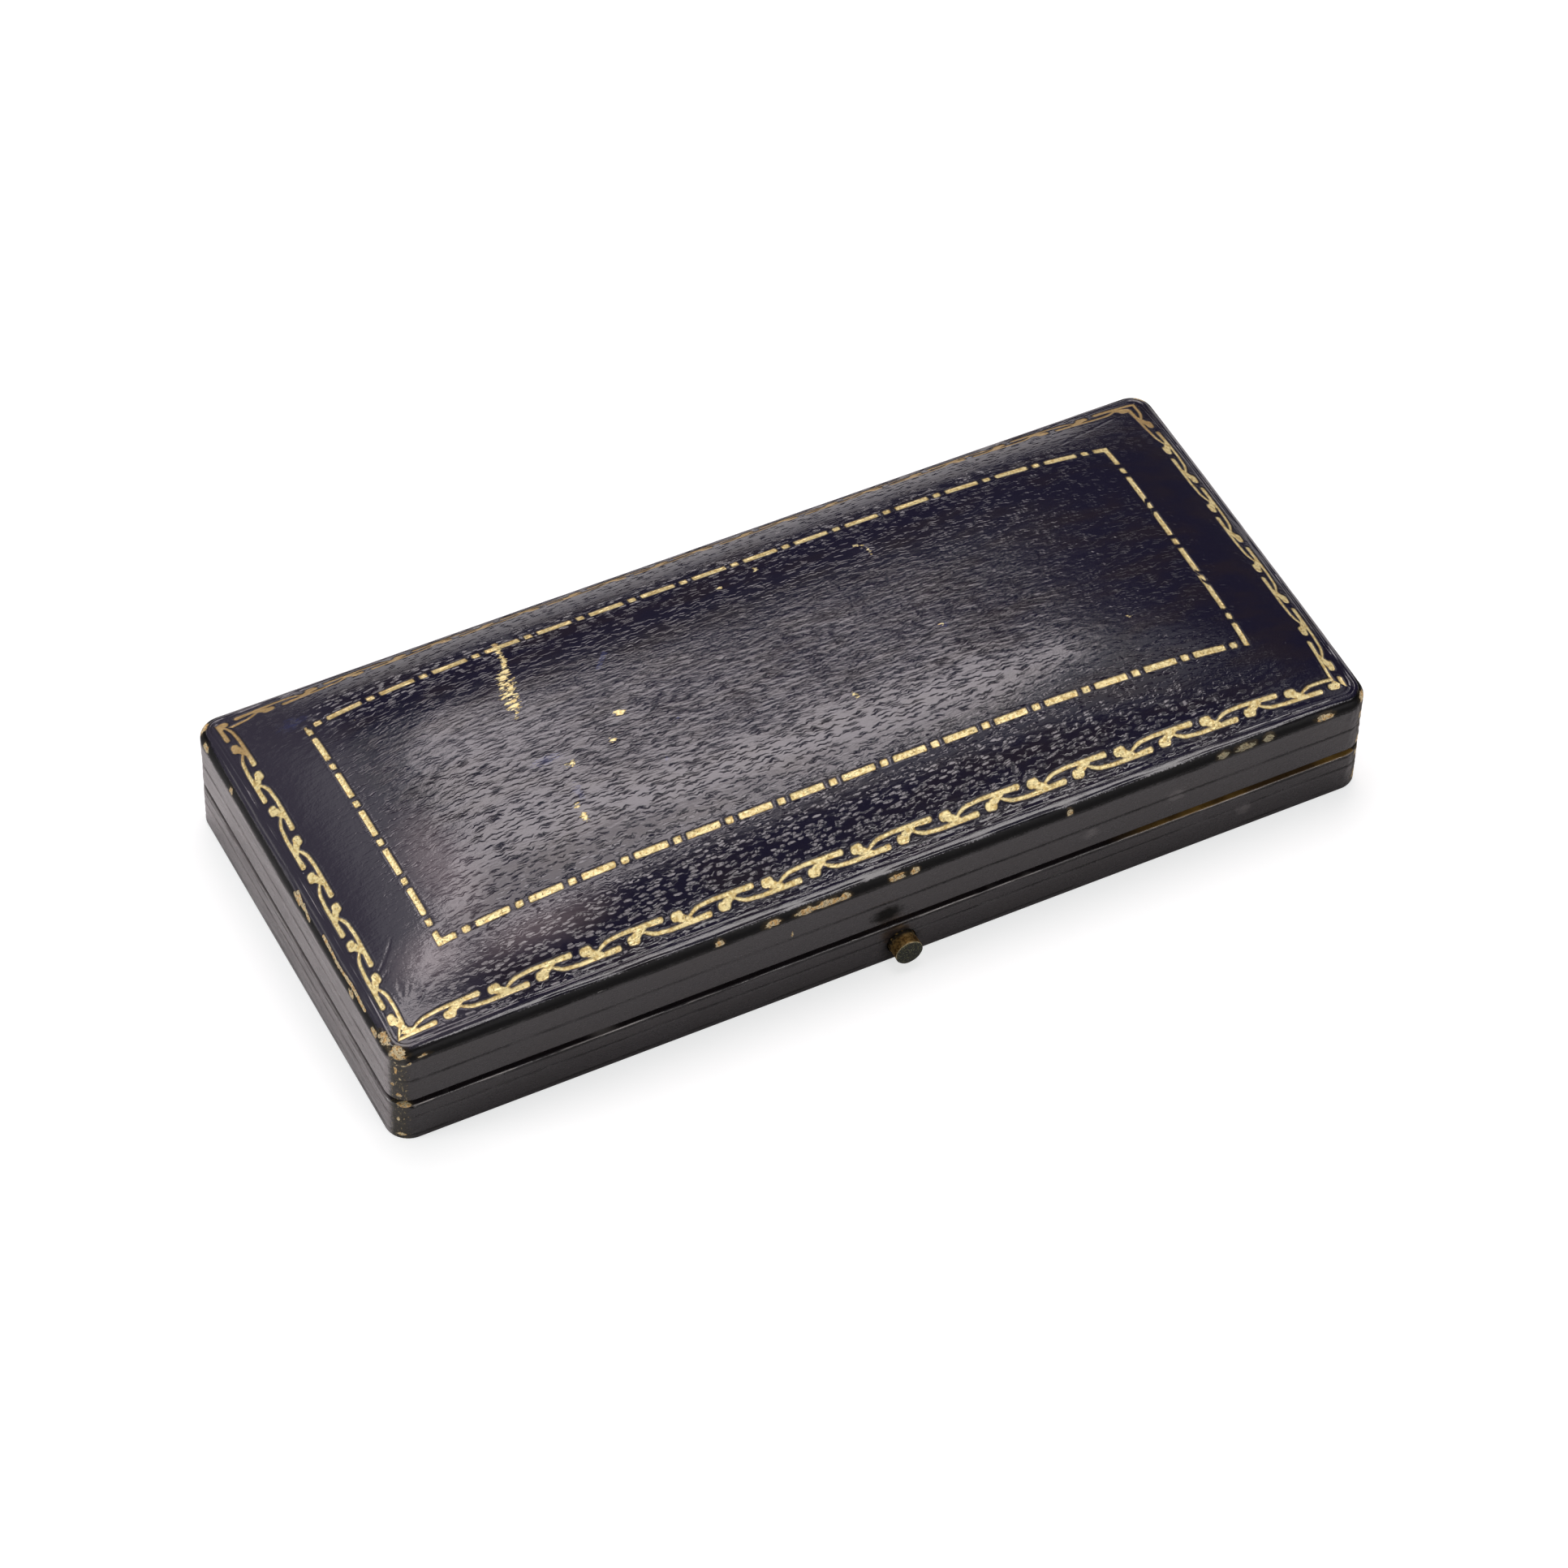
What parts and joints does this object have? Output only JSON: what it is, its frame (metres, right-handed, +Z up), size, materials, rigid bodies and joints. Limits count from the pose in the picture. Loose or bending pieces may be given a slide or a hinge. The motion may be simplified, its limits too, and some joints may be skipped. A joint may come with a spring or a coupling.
{
  "type": "cufflink box",
  "caption": "Long flat leather covered cufflink box with a cushioned hinged lid, gilt tooled border, push-button catch, velvet pad and satin lined lid.",
  "frame": {"origin": "centre of the underside, on the surface that the box stands on", "axes": "+X along the length to the right as seen from the button, +Y from the button to the hinges, +Z up"},
  "size_m": [0.13, 0.0604, 0.0241],
  "materials": {
    "navy_leather": "glazed navy black leather with a pressed straight grain, worn along its edges",
    "bare_wood": "plain sawn wood",
    "card": "grey board",
    "underside_cloth": "dark bookcloth",
    "pad_velvet": "dark blue velvet",
    "lid_satin": "aged cream satin",
    "wadding": "cotton wadding",
    "gold_paper": "gold brown lining paper",
    "fitting_brass": "dull brass",
    "button_brass": "tarnished brass"
  },
  "bodies": {
    "base": {"base_floor_board": "bare_wood", "base_front_rail": "bare_wood", "base_leather": "navy_leather", "base_left_rail": "bare_wood", "base_rear_rail": "bare_wood", "base_right_rail": "bare_wood", "cufflink_pad": "pad_velvet", "cufflink_pad_board": "card", "hinge_left_base_leaf": "fitting_brass", "hinge_left_base_nail_1": "fitting_brass", "hinge_left_base_nail_2": "fitting_brass", "hinge_left_pin": "fitting_brass", "hinge_right_base_leaf": "fitting_brass", "hinge_right_base_nail_1": "fitting_brass", "hinge_right_base_nail_2": "fitting_brass", "hinge_right_pin": "fitting_brass", "inner_collar": "gold_paper", "latch_nail_1": "fitting_brass", "latch_nail_2": "fitting_brass", "latch_spring": "fitting_brass", "underside_sheet": "underside_cloth"},
    "lid": {"hinge_left_lid_leaf": "fitting_brass", "hinge_left_lid_nail_1": "fitting_brass", "hinge_left_lid_nail_2": "fitting_brass", "hinge_right_lid_leaf": "fitting_brass", "hinge_right_lid_nail_1": "fitting_brass", "hinge_right_lid_nail_2": "fitting_brass", "lid_cushion": "wadding", "lid_front_rail": "bare_wood", "lid_leather": "navy_leather", "lid_left_rail": "bare_wood", "lid_lining": "gold_paper", "lid_pad_board": "card", "lid_rear_rail": "bare_wood", "lid_right_rail": "bare_wood", "lid_satin_pad": "lid_satin", "lid_top_board": "bare_wood", "striker_left_nail": "fitting_brass", "striker_plate": "fitting_brass", "striker_right_nail": "fitting_brass"},
    "button": {"push_button": "button_brass"}
  },
  "joints": [
    {"name": "lid_hinge", "type": "hinge", "parent": "base", "child": "lid", "pos_m": [0, 0.02815, 0.00665], "axis": [-1, 0, 0], "range_deg": [0, 97], "deforming": ["latch_spring"]},
    {"name": "button_press", "type": "slide", "parent": "base", "child": "button", "axis": [0, 1, 0], "range_m": [0, 0.001], "stiffness_N_per_m": 400, "springref_m": -0.0005, "deforming": ["latch_spring"]}
  ]
}
